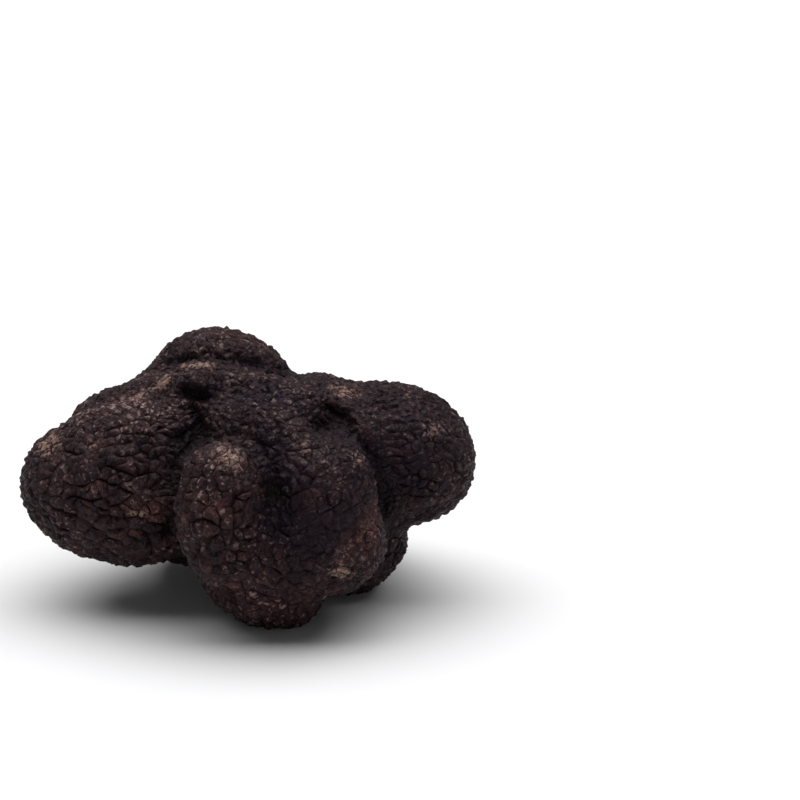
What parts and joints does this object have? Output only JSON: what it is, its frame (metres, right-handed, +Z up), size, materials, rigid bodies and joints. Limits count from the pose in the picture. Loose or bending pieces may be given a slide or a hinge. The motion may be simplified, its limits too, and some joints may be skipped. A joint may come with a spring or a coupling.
{
  "type": "black truffle",
  "caption": "Whole black truffle, a lobed, wart-skinned underground fungus with deep creases, resting on a small flat spot.",
  "frame": {"origin": "on the resting surface, under the middle of the truffle's box", "axes": "+Z up, +X along the longest side towards the blunt lobe, -Y towards the side with the two front lobes"},
  "size_m": [0.0702, 0.045, 0.0391],
  "materials": {
    "peridium": "satin, warty"
  },
  "bodies": {
    "root": {"truffle": "peridium"}
  },
  "joints": []
}
